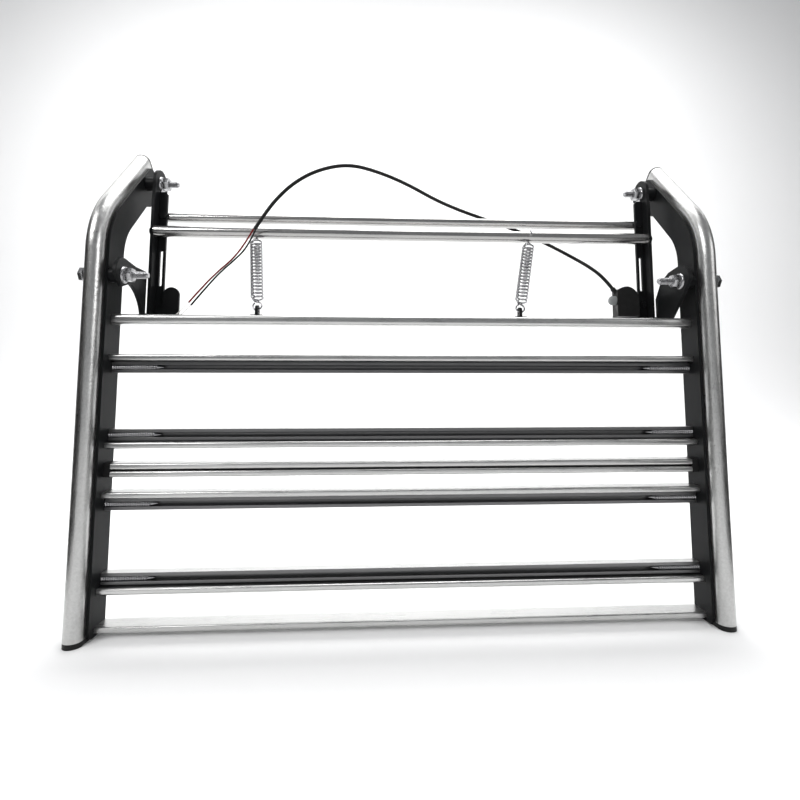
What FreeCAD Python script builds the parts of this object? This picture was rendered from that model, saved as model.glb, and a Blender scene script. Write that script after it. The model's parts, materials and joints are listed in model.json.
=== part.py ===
import FreeCAD, Part
import math
import os
import re

import Sketcher

# Guard rack with a sprung swing frame: two bent rails with side plates, seven cross members,
# and a frame of two arms and two crossbars that hangs on the upper bolts, is pulled by two
# extension springs and carries a push switch with a two-core lead.
# Millimetres. +X to the viewer's right, +Y away from the viewer, +Z up; the rack stands on
# its two rail caps. Depths in the table are measured back from the rails' front line.

SIZES = [
    # rails and caps
    ("rail_out", 252.8, "rail outer face, from the middle"),
    ("rail_wide", 13.7, "rail width across"),
    ("rail_deep", 24, "rail section depth"),
    ("rail_wall", 1.8, "rail wall"),
    ("rail_nose", 6.6, "radius of the rail's front corners"),
    ("rail_back", 3, "radius of the rail's back corners"),
    ("rail_top_straight", 76, "straight length above the bend"),
    ("bend_start", 295.5, "height where the bend starts"),
    ("bend_radius", 71, "bend radius on the front line"),
    ("bend_angle", 42, "bend angle"),
    ("foot_cap", 4, "bottom cap thickness"),
    ("top_cap", 2, "top cap thickness"),
    ("spigot_long", 10, "length of a cap's plug"),
    ("plug_gap", 0.15, "plug clearance in the rail"),
    # side plates
    ("plate_thick", 2.4, "side plate thickness"),
    ("plate_low", 1.2, "height of the side plate's lower edge"),
    ("plate_front", 9, "side plate front edge, behind the front line"),
    ("plate_rear", 31.5, "side plate rear edge, behind the front line"),
    ("plate_lobe", 20, "radius of the side plate's lobe round the pivot"),
    ("plate_round", 6, "side plate corner radius"),
    ("plate_short", 2.5, "side plate set back from the rail's top end"),
    # cross members
    ("slat_front", 16, "slat nose, behind the front line"),
    ("slat_tall", 14.5, "slat height"),
    ("slat_deep", 14, "slat depth"),
    ("slat_step", 5.6, "screw channel face, behind the nose"),
    ("nose_tall", 4.8, "slat nose height"),
    ("nose_round", 1.6, "slat nose corner radius"),
    ("groove_tall", 0.9, "shadow groove under the nose"),
    ("groove_deep", 2, "depth of the shadow groove"),
    ("channel_low", 4.5, "screw channel axis above the slat's plain edge"),
    ("channel_lip", 0.6, "channel lip thickness"),
    ("channel_mouth", 3.8, "channel mouth height"),
    ("screw_size", 5.5, "self-tapping screw diameter"),
    ("thread_gap", 0.05, "radial gap of the screw in its channel"),
    ("screw_long", 42, "self-tapping screw length with its head"),
    ("screw_tip", 5, "self-tapping screw's tapered point"),
    ("bar_screw_long", 30, "length of the plain bars' screws"),
    ("screw_head", 9.4, "countersunk head diameter"),
    ("screw_head_tall", 2.2, "countersunk head height"),
    ("screw_sink", 0.1, "countersunk head below the plate's face"),
    ("bar_head", 5.6, "head diameter of the plain bars' screws"),
    ("slat_a", 205.7, "height of the upper slat"),
    ("slat_b", 147, "height of the slat above the centre"),
    ("slat_c", 123.3, "height of the centre slat"),
    ("slat_d", 99.5, "height of the slat below the centre"),
    ("slat_e", 38.2, "height of the lower slat"),
    ("centre_tall", 10.6, "centre slat height"),
    ("centre_groove", 1.2, "groove between the centre slat's noses"),
    ("block_long", 5.5, "end block of the centre slat"),
    ("spring_bar_z", 241, "height of the spring bar"),
    ("spring_bar_tall", 8, "spring bar height"),
    ("spring_bar_deep", 13, "spring bar depth"),
    ("base_bar_z", 6, "height of the bottom bar"),
    ("base_bar_tall", 4.4, "bottom bar thickness"),
    ("base_bar_deep", 15, "bottom bar depth"),
    ("bar_bore", 1.55, "pilot hole radius in the plain bars"),
    ("bar_screw", 1.5, "radius of the plain bars' screws"),
    # bolts
    ("bolt_r", 3, "bolt radius"),
    ("bolt_fit", 0.15, "radial gap of a bolt in a fixed hole"),
    ("pivot_fit", 0.06, "radial gap of the arm on its bolt"),
    ("hex_flat", 10, "hexagon across flats"),
    ("flange_r", 7.1, "flange radius of bolt head and nut"),
    ("flange_thick", 1.4, "flange thickness"),
    ("head_tall", 5.6, "bolt head height with flange"),
    ("nut_tall", 7.4, "nut height with flange"),
    ("washer_r", 6.4, "plain washer radius"),
    ("washer_thick", 1.6, "plain washer thickness"),
    ("bolt_tip", 1.2, "length of the bolt's rounded tip"),
    ("bolt_in", 44.8, "bolt length under the head"),
    ("bolt_thread", 2.95, "radius of a bolt's free thread"),
    ("bolt_back", 14, "lower bolts, behind the front line"),
    ("lower_bolt_z", 275.5, "height of the lower bolts"),
    ("pivot_back", 16.5, "pivot behind the rail's front line"),
    ("pivot_down", 24, "pivot below the rail's top end, along the rail"),
    ("pivot_play", 0.2, "side play of each arm between spacer and nut"),
    ("spacer_r", 6, "spacer tube radius"),
    ("lower_spacer", 7.2, "spacer between side plate and stop plate"),
    ("stop_thick", 2.9, "stop plate thickness"),
    ("stop_ear", 13.5, "radius of the stop plate's ear"),
    ("stop_tab", 7.6, "length of the stop plate's inward tab"),
    # swing frame
    ("arm_space", 10.8, "gap between a side plate and an arm"),
    ("arm_thick", 2.5, "arm metal thickness"),
    ("arm_corner", 2, "chamfer at the top of an arm's back leg"),
    ("screw_low", 6, "lower small screw above the arm's foot"),
    ("screw_high", 20, "upper small screw above the arm's foot"),
    ("arm_front", 52, "front edge of an arm's side leg"),
    ("arm_back", 64.5, "back face of an arm"),
    ("arm_wide", 7, "arm back leg beyond its side leg"),
    ("arm_foot", 243, "height of an arm's foot"),
    ("arm_leg_top", 362.5, "height of the top of an arm's back leg"),
    ("arm_ear", 12.5, "radius of the arm's ear"),
    ("slot_low", 277.5, "height of the slot's lower centre"),
    ("slot_high", 307, "height of the slot's upper centre"),
    ("slot_half", 1.3, "half width of the slot"),
    ("slot_in", 3.4, "slot centre from the back leg's edge"),
    ("bar_gap", 0.55, "gap between the lower crossbar and an arm's back leg"),
    ("lower_bar_z", 324.2, "lower crossbar axis height"),
    ("lower_bar_r", 5.25, "lower crossbar radius"),
    ("upper_bar_r", 4.3, "upper crossbar radius"),
    ("upper_bar_z", 340.9, "upper crossbar axis height"),
    ("tube_wall", 1.2, "crossbar wall"),
    ("bar_bolt_r", 2, "radius of the crossbar screws"),
    ("bar_nut_long", 9, "length of a crossbar's threaded end plug"),
    ("stop_gap", 0.3, "gap between arm and stop plate at rest"),
    # springs
    ("spring_r", 5.5, "spring coil outer radius"),
    ("spring_wire", 1.6, "spring wire diameter"),
    ("spring_eye", 3.6, "radius of the spring's lower eye"),
    ("spring_taper", 5, "length of each tapered end of a spring"),
    ("hook_gap", 0.4, "gap between top hook and crossbar"),
    ("lug_y", 27, "spring lug eye depth"),
    ("lug_z", 250.5, "spring lug eye height"),
    ("lug_thick", 2.4, "spring lug thickness"),
    ("lug_r", 3.8, "spring lug eye outer radius"),
    ("eye_r", 1.9, "spring lug hole radius"),
    ("spring_low_left", -125.5, "left spring, place on the spring bar"),
    ("spring_top_left", -135.5, "left spring, place on the crossbar"),
    ("spring_low_right", 93.7, "right spring, place on the spring bar"),
    ("spring_top_right", 112.5, "right spring, place on the crossbar"),
    # foot tab, switch and lead
    ("tab_thick", 2.5, "tab and switch bracket thickness"),
    ("tab_wide", 14, "left tab width"),
    ("tab_reach", 21.5, "left tab's free edge from the arm's side leg"),
    ("tab_top", 275, "height of the tab's top"),
    ("switch_in", 33.5, "switch body's left face, from the right arm's inner face"),
    ("switch_wide", 20, "switch body width"),
    ("switch_deep", 11, "switch body depth"),
    ("switch_low", 250.5, "height of the switch body's underside"),
    ("switch_tall", 27.5, "switch body height"),
    ("button_z", 265.6, "button axis height"),
    ("button_r", 4.2, "button radius"),
    ("button_fit", 0.1, "radial gap round the button"),
    ("button_out", 5.4, "button stands out at rest"),
    ("button_in", 7, "button length inside the body"),
    ("button_travel", 2.5, "button travel"),
    ("small_screw_r", 1.5, "small screw shank radius"),
    ("gland_r", 2.2, "cable gland radius"),
    ("gland_long", 6, "cable gland length"),
    ("lead_r", 1.6, "lead sheath radius"),
    ("core_r", 0.75, "lead core radius"),
    ("tinned_r", 0.45, "stripped strand radius"),
]

doc = FreeCAD.newDocument("SprungGuardRack")
dims = doc.addObject("Spreadsheet::Sheet", "dims")
for row, (alias, value, note) in enumerate(SIZES, start=1):
    dims.set(f"A{row}", note)
    dims.set(f"B{row}", str(value))
    dims.setAlias(f"B{row}", alias)
doc.recompute()

ALIASES = {alias for alias, _, _ in SIZES}
# Sizes that follow from the sheet's, by name.
DERIVED = {
    "frame_half": "(rail_out - rail_wide - plate_thick - arm_space - arm_thick)",
    "lower_bar_y": "(arm_back - arm_thick - lower_bar_r - bar_gap)",
    "switch_left": "(frame_half - switch_in)",
}
WORD = re.compile(r"[a-z_][a-z0-9_]*")
nodes = []


def bound(text):
    """Expression text with each size name pointed at the sheet."""
    def swap(match):
        word = match[0]
        if word in DERIVED:
            return bound(DERIVED[word])
        return "dims." + word if word in ALIASES else word
    return WORD.sub(swap, str(text))


def number(text):
    """The expression's value now."""
    return float(doc.getObject("dims").evalExpression(bound(text)))


# Derived places, as expressions in the sheet's names.
INNER = "(rail_out - rail_wide)"
PLATE_IN = "(rail_out - rail_wide - plate_thick)"
STEP_Y = "sin(bend_angle)"
STEP_Z = "cos(bend_angle)"
ARC_Y = f"(bend_radius * (1 - {STEP_Z}))"
ARC_Z = f"(bend_start + bend_radius * {STEP_Y})"
END_Y = f"({ARC_Y} + rail_top_straight * {STEP_Y})"
END_Z = f"({ARC_Z} + rail_top_straight * {STEP_Z})"
PIVOT_Y = f"({END_Y} - pivot_down * {STEP_Y} + pivot_back * {STEP_Z})"
PIVOT_Z = f"({END_Z} - pivot_down * {STEP_Z} - pivot_back * {STEP_Y})"
# The frame's origin is under the middle of the rack's depth.
MIDDLE = f"(({END_Y} + top_cap * {STEP_Y} + rail_deep * {STEP_Z}) / 2)"
CHANNEL_IN = "(slat_step + channel_lip + sqrt((screw_size / 2 + thread_gap)^2 - (channel_mouth / 2)^2))"
SIDES = {"left": -1, "right": 1}


def place(obj, x=0, y=0, z=0, axis=None, angle=None):
    """Bind an object's place; y is a depth behind the front line."""
    if axis is not None:
        obj.Placement = FreeCAD.Placement(FreeCAD.Vector(), FreeCAD.Rotation(FreeCAD.Vector(*axis), 1))
        obj.setExpression("Placement.Rotation.Angle", bound(angle))
    obj.setExpression("Placement.Base.x", bound(x))
    obj.setExpression("Placement.Base.y", bound(f"{y} - {MIDDLE}"))
    obj.setExpression("Placement.Base.z", bound(z))
    return obj


def keep(obj, label):
    """Name a finished sub-part; its label is its file's name."""
    obj.Label = label
    nodes.append(obj)
    return obj


def new_body(name):
    return doc.addObject("PartDesign::Body", name)


def new_sketch(body, role, name, height=None):
    """Sketch on one of the body's own origin planes, lifted off it by height."""
    sketch = body.newObject("Sketcher::SketchObject", name)
    base = next(item for item in body.Origin.OriginFeatures if item.Role == role)
    sketch.AttachmentSupport = (base, [""])
    sketch.MapMode = "FlatFace"
    if height is not None:
        sketch.setExpression("AttachmentOffset.Base.z", bound(height))
    return sketch


def pin_point(sketch, geometry, end, x, y):
    """Hold a point of the sketch at (x, y)."""
    for kind, text in (("DistanceX", x), ("DistanceY", y)):
        index = sketch.addConstraint(
            Sketcher.Constraint(kind, -1, 1, geometry, end, number(text)))
        sketch.setExpression(f"Constraints[{index}]", bound(text))


def circle(sketch, x, y, radius):
    centre = FreeCAD.Vector(number(x), number(y), 0)
    geometry = sketch.addGeometry(
        Part.Circle(centre, FreeCAD.Vector(0, 0, 1), number(radius)), False)
    pin_point(sketch, geometry, 3, x, y)
    index = sketch.addConstraint(Sketcher.Constraint("Radius", geometry, number(radius)))
    sketch.setExpression(f"Constraints[{index}]", bound(radius))


def loop(sketch, corners, arcs=None, closed=True):
    """Sides through the corners; arcs gives side index: (radius, turn), turn +1 anticlockwise."""
    arcs = arcs or {}
    points = [FreeCAD.Vector(number(x), number(y), 0) for x, y in corners]
    count = len(points) if closed else len(points) - 1
    sides = []
    for side in range(count):
        start, end = points[side], points[(side + 1) % len(points)]
        if side not in arcs:
            sides.append((sketch.addGeometry(Part.LineSegment(start, end), False), 1, 2))
            continue
        radius, turn = arcs[side]
        chord = end - start
        rise = math.sqrt(max(number(radius) ** 2 - (chord.Length / 2) ** 2, 0))
        normal = FreeCAD.Vector(-chord.y, chord.x, 0).normalize() * (turn * rise)
        centre = (start + end) * 0.5 + normal
        first, last = (start, end) if turn > 0 else (end, start)
        a0 = math.atan2(first.y - centre.y, first.x - centre.x)
        a1 = math.atan2(last.y - centre.y, last.x - centre.x)
        arc = Part.ArcOfCircle(Part.Circle(centre, FreeCAD.Vector(0, 0, 1), number(radius)), a0, a1)
        geometry = sketch.addGeometry(arc, False)
        index = sketch.addConstraint(Sketcher.Constraint("Radius", geometry, number(radius)))
        sketch.setExpression(f"Constraints[{index}]", bound(radius))
        sides.append((geometry, 1, 2) if turn > 0 else (geometry, 2, 1))
    for side in range(count if closed else count - 1):
        geometry, _, end = sides[side]
        after, start, _ = sides[(side + 1) % count]
        sketch.addConstraint(Sketcher.Constraint("Coincident", geometry, end, after, start))
    for side, (x, y) in enumerate(corners[:count]):
        pin_point(sketch, sides[side][0], sides[side][1], x, y)
    if not closed:
        pin_point(sketch, sides[-1][0], sides[-1][2], *corners[-1])


def rounded(sketch, x0, y0, x1, y1, r_low, r_high):
    """Rectangle with its corners rounded, r_low at y0 and r_high at y1."""
    corners = [
        (f"{x0} + {r_low}", y0), (f"{x1} - {r_low}", y0), (x1, f"{y0} + {r_low}"),
        (x1, f"{y1} - {r_high}"), (f"{x1} - {r_high}", y1), (f"{x0} + {r_high}", y1),
        (x0, f"{y1} - {r_high}"), (x0, f"{y0} + {r_low}")]
    loop(sketch, corners, {1: (r_low, 1), 3: (r_high, 1), 5: (r_high, 1), 7: (r_low, 1)})


def pad(body, sketch, length, flip=False):
    feature = body.newObject("PartDesign::Pad", sketch.Name + "_pad")
    feature.Profile = sketch
    feature.Reversed = flip
    feature.setExpression("Length", bound(length))
    return feature


def pocket(body, sketch, length, flip=False):
    """Cut, and make sure that it removed material."""
    doc.recompute()
    before = body.Shape.Volume
    feature = body.newObject("PartDesign::Pocket", sketch.Name + "_cut")
    feature.Profile = sketch
    feature.Reversed = flip
    feature.setExpression("Length", bound(length))
    doc.recompute()
    if body.Shape.Volume > before - 1e-6:
        raise RuntimeError(f"{feature.Name} removed nothing")
    return feature


def cylinder(radius, height, z=0):
    solid = doc.addObject("Part::Cylinder", "round")
    solid.setExpression("Radius", bound(radius))
    solid.setExpression("Height", bound(height))
    solid.setExpression("Placement.Base.z", bound(z))
    return solid


def cone(low, high, height, z=0):
    solid = doc.addObject("Part::Cone", "cone")
    solid.setExpression("Radius1", bound(low))
    solid.setExpression("Radius2", bound(high))
    solid.setExpression("Height", bound(height))
    solid.setExpression("Placement.Base.z", bound(z))
    return solid


def hexagon(flats, height, z=0):
    solid = doc.addObject("Part::Prism", "hexagon")
    solid.Polygon = 6
    solid.setExpression("Circumradius", bound(f"{flats} / sqrt(3)"))
    solid.setExpression("Height", bound(height))
    solid.setExpression("Placement.Base.z", bound(z))
    return solid


def fuse(name, *solids):
    joined = doc.addObject("Part::MultiFuse", name)
    joined.Shapes = list(solids)
    return joined


def cut(name, solid, tool):
    result = doc.addObject("Part::Cut", name)
    result.Base = solid
    result.Tool = tool
    return result


def group(name, solids):
    bunch = doc.addObject("Part::Compound", name)
    bunch.Links = list(solids)
    return bunch


def tube(name, outer, inner, height):
    return cut(name, cylinder(outer, height), cylinder(inner, f"{height} + 2", -1))


def rail_section(sketch, side, inset="0"):
    """Rail section with its two front corners well rounded; inset draws the hollow."""
    near, far = (f"{inset}", f"rail_wide - {inset}")
    x0, x1 = (near, far) if side > 0 else (f"-({far})", f"-({near})")
    front = f"(rail_nose - {inset})"
    back = f"(rail_back - {inset} / 2)"
    rounded(sketch, f"({x0})", inset, f"({x1})", f"(rail_deep - {inset})", front, back)


def rail_path(body, name):
    sketch = new_sketch(body, "YZ_Plane", name)
    corners = [("0", "foot_cap"), ("0", "bend_start"), (ARC_Y, ARC_Z), (END_Y, END_Z)]
    loop(sketch, corners, {1: ("bend_radius", -1)}, closed=False)
    return sketch


def pipe(body, kind, section, path):
    feature = body.newObject(kind, section.Name + "_sweep")
    feature.Profile = section
    feature.Spine = (path, [])
    return feature


SCREW_ROWS = {
    "slat_a": ("slat_front + " + CHANNEL_IN, "slat_a - slat_tall / 2 + channel_low"),
    "slat_b": ("slat_front + " + CHANNEL_IN, "slat_b + slat_tall / 2 - channel_low"),
    "slat_d": ("slat_front + " + CHANNEL_IN, "slat_d - slat_tall / 2 + channel_low"),
    "slat_e": ("slat_front + " + CHANNEL_IN, "slat_e + slat_tall / 2 - channel_low"),
}
BAR_ROWS = {
    "slat_c": ("slat_front + (slat_deep + slat_step) / 2", "slat_c"),
    "spring_bar": ("slat_front + spring_bar_deep / 2", "spring_bar_z"),
    "base_bar": ("slat_front + base_bar_deep / 2", "base_bar_z"),
}
LOWER_BOLT = ("bolt_back", "lower_bolt_z")
UPPER_BOLT = (PIVOT_Y, PIVOT_Z)


def build_rail(word, side):
    """Hollow bent rail, drilled for its bolts."""
    body = new_body("rail_" + word)
    path = rail_path(body, f"path_{word}")
    outer = new_sketch(body, "XY_Plane", f"section_{word}", "foot_cap")
    rail_section(outer, side)
    pipe(body, "PartDesign::AdditivePipe", outer, path)
    hollow = new_sketch(body, "XY_Plane", f"hollow_{word}", "foot_cap")
    rail_section(hollow, side, "rail_wall")
    pipe(body, "PartDesign::SubtractivePipe", hollow, path)
    drill = new_sketch(body, "YZ_Plane", f"bolt_holes_{word}")
    for y, z in (LOWER_BOLT, UPPER_BOLT):
        circle(drill, y, z, "bolt_r + bolt_fit")
    pocket(body, drill, "rail_wide + 1", flip=side > 0)
    place(body, f"{side} * {INNER}")
    keep(body, "rail_" + word)


def build_caps(word, side):
    """Moulded plugs that close the rail's two ends."""
    foot = new_body("foot_cap_body_" + word)
    rim = new_sketch(foot, "XY_Plane", f"foot_rim_{word}")
    rail_section(rim, side)
    pad(foot, rim, "foot_cap")
    plug = new_sketch(foot, "XY_Plane", f"foot_plug_{word}", "foot_cap")
    rail_section(plug, side, "(rail_wall + plug_gap)")
    pad(foot, plug, "spigot_long")
    place(foot, f"{side} * {INNER}")
    keep(foot, "foot_cap_" + word)
    top = new_body("top_cap_body_" + word)
    rim = new_sketch(top, "XY_Plane", f"top_rim_{word}")
    rail_section(rim, side)
    pad(top, rim, "top_cap")
    plug = new_sketch(top, "XY_Plane", f"top_plug_{word}")
    rail_section(plug, side, "(rail_wall + plug_gap)")
    pad(top, plug, "spigot_long", flip=True)
    place(top, f"{side} * {INNER}", END_Y, END_Z, (1, 0, 0), "-bend_angle")
    keep(top, "top_cap_" + word)


def along(distance, back):
    """Point on the upper straight: distance short of its end, back from the front line."""
    return (f"({END_Y} - ({distance}) * {STEP_Y} + ({back}) * {STEP_Z})",
            f"({END_Z} - ({distance}) * {STEP_Z} - ({back}) * {STEP_Y})")


def sunk_head(shank, head):
    """Countersunk taper from head down to shank."""
    return cone(head, shank, "screw_head_tall", "screw_sink")


def build_side_plate(word, side):
    """Flat plate inside the rail that follows its bend and carries every cross member."""
    body = new_body("side_plate_body_" + word)
    shape = new_sketch(body, "YZ_Plane", f"plate_outline_{word}")
    low = "plate_low"
    front_arc = "(bend_radius - plate_front)"
    rear_arc = "(bend_radius - plate_rear)"
    lobe = "sqrt(plate_lobe^2 - (plate_rear - pivot_back)^2)"
    corners = [
        (f"plate_front + plate_round", low), (f"plate_rear - plate_round", low),
        ("plate_rear", f"{low} + plate_round"), ("plate_rear", "bend_start"),
        (f"(bend_radius - {rear_arc} * {STEP_Z})", f"(bend_start + {rear_arc} * {STEP_Y})"),
        along(f"pivot_down + {lobe}", "plate_rear"), along(f"pivot_down - {lobe}", "plate_rear"),
        along("plate_short + plate_round", "plate_rear"),
        along("plate_short", "plate_rear - plate_round"),
        along("plate_short", "plate_front + plate_round"),
        along("plate_short + plate_round", "plate_front"),
        (f"(bend_radius - {front_arc} * {STEP_Z})", f"(bend_start + {front_arc} * {STEP_Y})"),
        ("plate_front", "bend_start"), ("plate_front", f"{low} + plate_round")]
    corner = ("plate_round", 1)
    loop(shape, corners, {1: corner, 3: (rear_arc, -1), 5: ("plate_lobe", 1), 7: corner,
                          9: corner, 11: (front_arc, 1), 13: corner})
    for y, z in (LOWER_BOLT, UPPER_BOLT):
        circle(shape, y, z, "bolt_r + bolt_fit")
    pad(body, shape, "plate_thick", flip=side < 0)
    place(body, f"{side} * {PLATE_IN}")
    sinks = []
    for rows, shank, head in ((SCREW_ROWS, "screw_size / 2", "screw_head / 2"),
                              (BAR_ROWS, "bar_screw", "bar_head / 2")):
        for y, z in rows.values():
            hole = fuse("sunk_hole", sunk_head(f"{shank} + thread_gap", f"{head} + thread_gap"),
                        cylinder(f"{head} + thread_gap", "screw_sink + 1", -1),
                        cylinder(f"{shank} + thread_gap", "plate_thick + 1"))
            sinks.append(place(hole, f"{side} * {INNER}", y, z, (0, 1, 0), -side * 90))
    keep(cut("side_plate_sunk_" + word, body, fuse("head_sinks_" + word, *sinks)),
         "side_plate_" + word)


def slat_profile(sketch, up):
    """Slat section: a rounded nose, a shadow groove and an open screw channel."""
    def at(y, z):
        return (f"({y})", f"({z})" if up else f"(slat_tall - ({z}))")
    turn = 1 if up else -1
    mouth_low = "channel_low - channel_mouth / 2"
    mouth_high = "channel_low + channel_mouth / 2"
    nose_low = "slat_tall - nose_tall"
    lip_y = "slat_step + channel_lip"
    corners = [
        at("slat_step", "0"), at("slat_deep", "0"), at("slat_deep", "slat_tall"),
        at("nose_round", "slat_tall"), at("0", "slat_tall - nose_round"),
        at("0", f"{nose_low} + nose_round"), at("nose_round", nose_low),
        at("slat_step + groove_deep", nose_low),
        at("slat_step + groove_deep", f"{nose_low} - groove_tall"),
        at("slat_step", f"{nose_low} - groove_tall"),
        at("slat_step", mouth_high), at(lip_y, mouth_high),
        at(lip_y, mouth_low), at("slat_step", mouth_low)]
    loop(sketch, corners, {3: ("nose_round", turn), 5: ("nose_round", turn)})


def build_slat(name, height, up):
    """Full-length slat between the side plates."""
    body = new_body(name + "_body")
    shape = new_sketch(body, "YZ_Plane", name + "_section")
    slat_profile(shape, up)
    pad(body, shape, f"2 * {PLATE_IN}")
    bore = new_sketch(body, "YZ_Plane", name + "_channel")
    z = "channel_low" if up else "slat_tall - channel_low"
    circle(bore, CHANNEL_IN, z, "screw_size / 2 + thread_gap")
    pocket(body, bore, f"2 * {PLATE_IN} + 1", flip=True)
    place(body, f"-{PLATE_IN}", "slat_front", f"{height} - slat_tall / 2")
    keep(body, name)


def build_centre_slat():
    """Double-nosed centre slat and the two dark blocks at its ends."""
    body = new_body("centre_slat_body")
    shape = new_sketch(body, "YZ_Plane", "centre_section")
    half = "(centre_tall / 2 - centre_groove / 2)"
    corners = []
    for base in ("0", f"({half} + centre_groove)"):
        corners += [(f"nose_round", base), ("0", f"{base} + nose_round"),
                    ("0", f"{base} + {half} - nose_round"), ("nose_round", f"{base} + {half}")]
        if base == "0":
            corners += [("slat_step", half), ("slat_step", f"{half} + centre_groove")]
    corners += [("slat_deep", "centre_tall"), ("slat_deep", "0")]
    loop(shape, corners, {0: ("nose_round", -1), 2: ("nose_round", -1),
                          6: ("nose_round", -1), 8: ("nose_round", -1)})
    circle(shape, "(slat_deep + slat_step) / 2", "centre_tall / 2", "bar_bore")
    pad(body, shape, f"2 * ({PLATE_IN} - block_long)")
    place(body, f"-({PLATE_IN} - block_long)", "slat_front", "slat_c - centre_tall / 2")
    keep(body, "slat_centre")
    for word, side in SIDES.items():
        block = new_body("end_block_body_" + word)
        shape = new_sketch(block, "YZ_Plane", "block_section_" + word)
        rounded(shape, "0.8", "0", "slat_deep", "centre_tall", "1", "1")
        circle(shape, "(slat_deep + slat_step) / 2", "centre_tall / 2", "bar_bore")
        pad(block, shape, "block_long", flip=side > 0)
        place(block, f"{side} * {PLATE_IN}", "slat_front", "slat_c - centre_tall / 2")
        keep(block, "end_block_" + word)


def build_plain_bar(name, height, tall, deep, nose):
    """Plain bar with a rounded front and a pilot hole along it."""
    body = new_body(name + "_body")
    shape = new_sketch(body, "YZ_Plane", name + "_section")
    corners = [(nose, "0"), (deep, "0"), (deep, tall), (nose, tall),
               ("0", f"{tall} - {nose}"), ("0", nose)]
    loop(shape, corners, {3: (nose, 1), 5: (nose, 1)})
    circle(shape, f"{deep} / 2", f"{tall} / 2", "bar_bore")
    pad(body, shape, f"2 * {PLATE_IN}")
    place(body, f"-{PLATE_IN}", "slat_front", f"{height} - {tall} / 2")
    keep(body, name)


def build_screws(word, side):
    """Countersunk screws through the side plate into the cross members."""
    long_screws, bar_screws = [], []
    for y, z in SCREW_ROWS.values():
        shank = cylinder("screw_size / 2", "screw_long - screw_tip - screw_sink", "screw_sink")
        tip = cone("screw_size / 2", "0.8", "screw_tip", "screw_long - screw_tip")
        head = sunk_head("screw_size / 2", "screw_head / 2")
        screw = fuse("slat_screw", shank, tip, head)
        place(screw, f"{side} * {INNER}", y, z, (0, 1, 0), -side * 90)
        long_screws.append(screw)
    for y, z in BAR_ROWS.values():
        shank = cylinder("bar_screw", "bar_screw_long - screw_sink", "screw_sink")
        head = sunk_head("bar_screw", "bar_head / 2")
        screw = fuse("bar_screw_solid", shank, head)
        place(screw, f"{side} * {INNER}", y, z, (0, 1, 0), -side * 90)
        bar_screws.append(screw)
    keep(group("slat_screw_set_" + word, long_screws), "slat_screws_" + word)
    keep(group("bar_screw_set_" + word, bar_screws), "bar_screws_" + word)


def build_bolt(label, side, where, nut_end):
    """Flanged hexagon bolt from the rail's outer face inwards; its thread is free past the nut."""
    plain = f"(rail_out - {nut_end})"
    shank = cylinder("bolt_r", plain)
    free = cylinder("bolt_thread", f"bolt_in - bolt_tip - {plain}", plain)
    tip = cone("bolt_thread", "bolt_thread - 0.9", "bolt_tip", "bolt_in - bolt_tip")
    flange = cylinder("flange_r", "flange_thick", "-washer_thick - flange_thick")
    neck = cylinder("bolt_r", "washer_thick", "-washer_thick")
    head = hexagon("hex_flat", "head_tall - flange_thick", "-washer_thick - head_tall")
    bolt = fuse(label + "_solid", shank, free, tip, flange, neck, head)
    place(bolt, f"{side} * rail_out", *where, (0, 1, 0), -side * 90)
    keep(bolt, label)


def build_ring(label, side, where, start, thick, outer, inner="bolt_r + bolt_fit"):
    """Washer or spacer on a bolt, from start towards the middle."""
    ring = tube(label + "_solid", outer, inner, thick)
    place(ring, f"{side} * ({start})", *where, (0, 1, 0), -side * 90)
    keep(ring, label)


def build_nut(label, side, where, start):
    """Flanged hexagon nut, flange first."""
    flange = cylinder("flange_r", "flange_thick")
    body = hexagon("hex_flat", "nut_tall - flange_thick", "flange_thick")
    bore = cylinder("bolt_r", "nut_tall + 2", -1)
    nut = cut(label + "_solid", fuse(label + "_blank", flange, body), bore)
    place(nut, f"{side} * ({start})", *where, (0, 1, 0), -side * 90)
    keep(nut, label)


STOP_OUT = f"({PLATE_IN} - lower_spacer)"
STOP_IN = f"({STOP_OUT} - stop_thick)"
LEG_FRONT = "(arm_back - arm_thick)"


def build_stop_plate(word, side):
    """Plate on the lower bolt with an inward tab that stops the arm's foot."""
    body = new_body("stop_plate_body_" + word)
    shape = new_sketch(body, "YZ_Plane", "stop_outline_" + word)
    y, z = LOWER_BOLT
    rear = "(arm_front - stop_gap)"
    low = "(arm_foot - 2)"
    top = f"({z} + stop_ear)"
    if side < 0:
        corners = [(f"{y} - stop_ear", z), (f"{y} - 3", f"{z} - 10"), (f"{y} + 10", f"{z} - 5"),
                   (f"{rear} - stop_thick - 1", low), (rear, low), (rear, f"{z} + 11"),
                   (f"{y} + 18", f"{z} + 11"), (y, top)]
        arcs = {2: ("33", -1), 7: ("stop_ear", 1)}
    else:
        corners = [(f"{y} - stop_ear", z), (f"{y} - 5", f"{z} - 10"), (f"{y} + 20", low),
                   (rear, low), (rear, f"{z} - 9"), (f"{y} + 28", f"{z} + 5"),
                   (f"{y} + 16", f"{z} + 11"), (y, top)]
        arcs = {7: ("stop_ear", 1)}
    loop(shape, corners, arcs)
    circle(shape, y, z, "bolt_r + bolt_fit")
    pad(body, shape, "stop_thick", flip=side < 0)
    tab = new_sketch(body, "XZ_Plane", "stop_tab_" + word, f"-{rear}")
    inner = f"({-side} * (stop_tab - stop_thick))"
    loop(tab, [(inner, low), (f"{side} * stop_thick", low), (f"{side} * stop_thick", "arm_foot + 7"),
               (inner, "arm_foot + 7")])
    pad(body, tab, "stop_thick")
    place(body, f"{side} * {STOP_IN}")
    keep(body, "stop_plate_" + word)


FOOT_SCREWS = {"left": ["arm_foot + screw_low"],
               "right": ["arm_foot + screw_low", "arm_foot + screw_high"]}


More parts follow.
